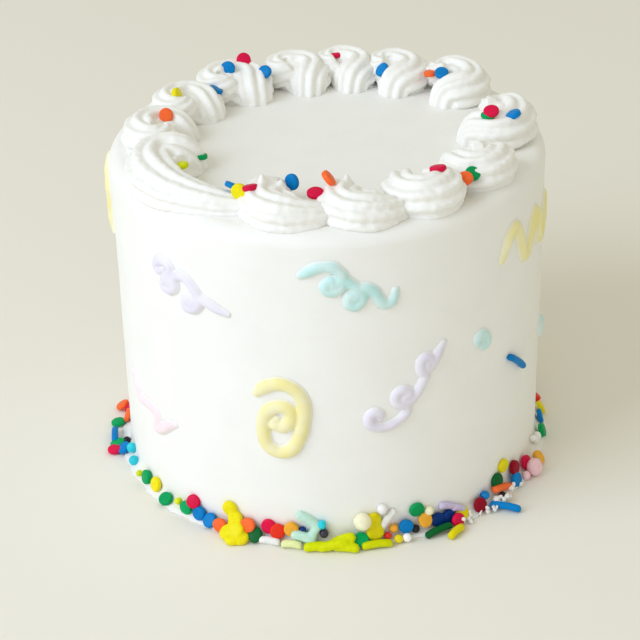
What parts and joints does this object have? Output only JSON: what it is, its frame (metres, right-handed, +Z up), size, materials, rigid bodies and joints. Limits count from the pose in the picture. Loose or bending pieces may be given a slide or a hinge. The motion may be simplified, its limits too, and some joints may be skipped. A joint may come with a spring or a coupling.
{
  "type": "mini cake",
  "caption": "Small tall round frosted cake with a ring of piped swirls on top, piped pastel streamers on its side, confetti, and a band of sprinkles at its foot.",
  "frame": {"origin": "centre of the flat underside", "axes": "+Z up along the cake's axis, -Y the side shown in front, +X to its right"},
  "size_m": [0.1216, 0.1202, 0.0982],
  "materials": {
    "frosting": "white buttercream, smoothed, soft satin",
    "piped_icing": "white piped buttercream, soft satin",
    "yellow_icing": "pale yellow piped icing",
    "aqua_icing": "pale aqua piped icing",
    "lavender_icing": "pale lavender piped icing",
    "pink_icing": "pale pink piped icing"
  },
  "bodies": {
    "root": {"cake": "frosting", "swirl_01": "piped_icing", "swirl_02": "piped_icing", "swirl_03": "piped_icing", "swirl_04": "piped_icing", "swirl_05": "piped_icing", "swirl_06": "piped_icing", "swirl_07": "piped_icing", "swirl_08": "piped_icing", "swirl_09": "piped_icing", "swirl_10": "piped_icing", "swirl_11": "piped_icing", "swirl_12": "piped_icing", "swirl_13": "piped_icing", "streamer_01": "lavender_icing", "streamer_02": "aqua_icing", "streamer_03": "yellow_icing", "streamer_04": "lavender_icing", "streamer_05": "aqua_icing", "streamer_06": "yellow_icing", "streamer_07": "aqua_icing", "streamer_08": "yellow_icing", "streamer_09": "pink_icing", "streamer_10": "aqua_icing", "streamer_11": "pink_icing", "streamer_12": "lavender_icing", "streamer_13": "yellow_icing", "streamer_14": "aqua_icing", "streamer_15": "pink_icing", "streamer_16": "lavender_icing", "streamer_17": "aqua_icing"}
  },
  "joints": []
}
